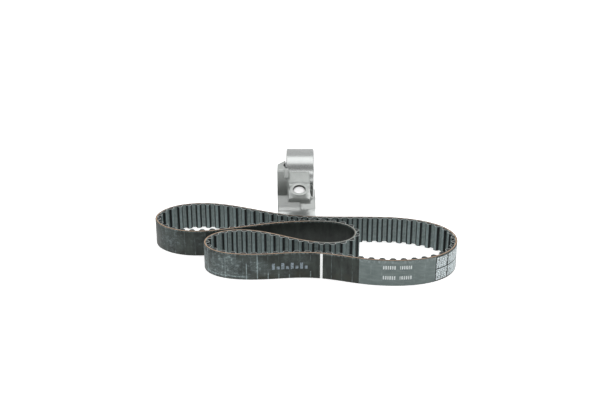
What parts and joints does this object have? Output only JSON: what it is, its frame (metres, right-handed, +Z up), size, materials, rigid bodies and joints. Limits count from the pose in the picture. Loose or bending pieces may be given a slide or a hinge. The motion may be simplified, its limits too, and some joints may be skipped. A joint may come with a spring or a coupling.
{
  "type": "timing belt with roller tensioner",
  "caption": "Toothed rubber timing belt laid on edge in folded loops, with a cast bracket carrying a smooth steel tensioner roller behind it.",
  "frame": {"origin": "centre of the whole set's bounding box, at the floor the belt and the bracket stand on", "axes": "+X along the laid-out belt, +Y away from the front strand towards the tensioner, +Z up across the belt's width"},
  "size_m": [0.2804, 0.1574, 0.076],
  "materials": {
    "back_rubber": "smooth matt chloroprene back",
    "tension_cord": "tan twisted cord",
    "tooth_rubber": "matt",
    "facing_fabric": "fine ribbed woven nylon",
    "white_print": "printed ink",
    "label_grey": "matt printed band",
    "pale_print": "printed ink",
    "cast_aluminium": "fine as-cast surface",
    "polished_steel": "ground and polished",
    "plain_steel": "turned",
    "zinc_steel": "zinc plated",
    "roller_steel": "smooth turned",
    "dark_steel": "oiled spring steel",
    "seal_rubber": "moulded",
    "cage_brass": "pressed"
  },
  "bodies": {
    "belt": {"belt_back_rubber": "back_rubber", "belt_tension_cords": "tension_cord", "belt_tooth_rubber": "tooth_rubber", "belt_tooth_facing": "facing_fabric", "index_line": "white_print", "label_band": "label_grey", "label_marks": "pale_print", "hatch_marks": "pale_print", "plain_mark": "pale_print"},
    "bracket": {"bracket_casting": "cast_aluminium", "ear_pin": "polished_steel", "mount_sleeve_front": "plain_steel", "mount_sleeve_back": "plain_steel", "axle_bolt": "zinc_steel", "axle_washer": "zinc_steel", "axle_spacer": "plain_steel", "bearing_inner_race": "polished_steel"},
    "roller": {"roller_shell": "roller_steel", "bearing_outer_race": "polished_steel", "retaining_ring": "dark_steel", "seal_left": "seal_rubber", "seal_right": "seal_rubber"},
    "cage": {"bearing_balls": "polished_steel", "ball_cage": "cage_brass"}
  },
  "joints": [
    {"name": "tensioner_place", "type": "slide", "parent": "belt", "child": "bracket", "axis": [0, 1, 0], "range_m": [0, 0.08]},
    {"name": "roller_spin", "type": "hinge", "parent": "bracket", "child": "roller", "pos_m": [-0.0028, 0.0546, 0.052], "axis": [1, 0, 0], "continuous": true},
    {"name": "cage_spin", "type": "hinge", "parent": "bracket", "child": "cage", "pos_m": [-0.0028, 0.0546, 0.052], "axis": [1, 0, 0], "continuous": true}
  ],
  "couplings": [
    {"joint": "cage_spin", "follows": "roller_spin", "ratio": 0.6193}
  ]
}
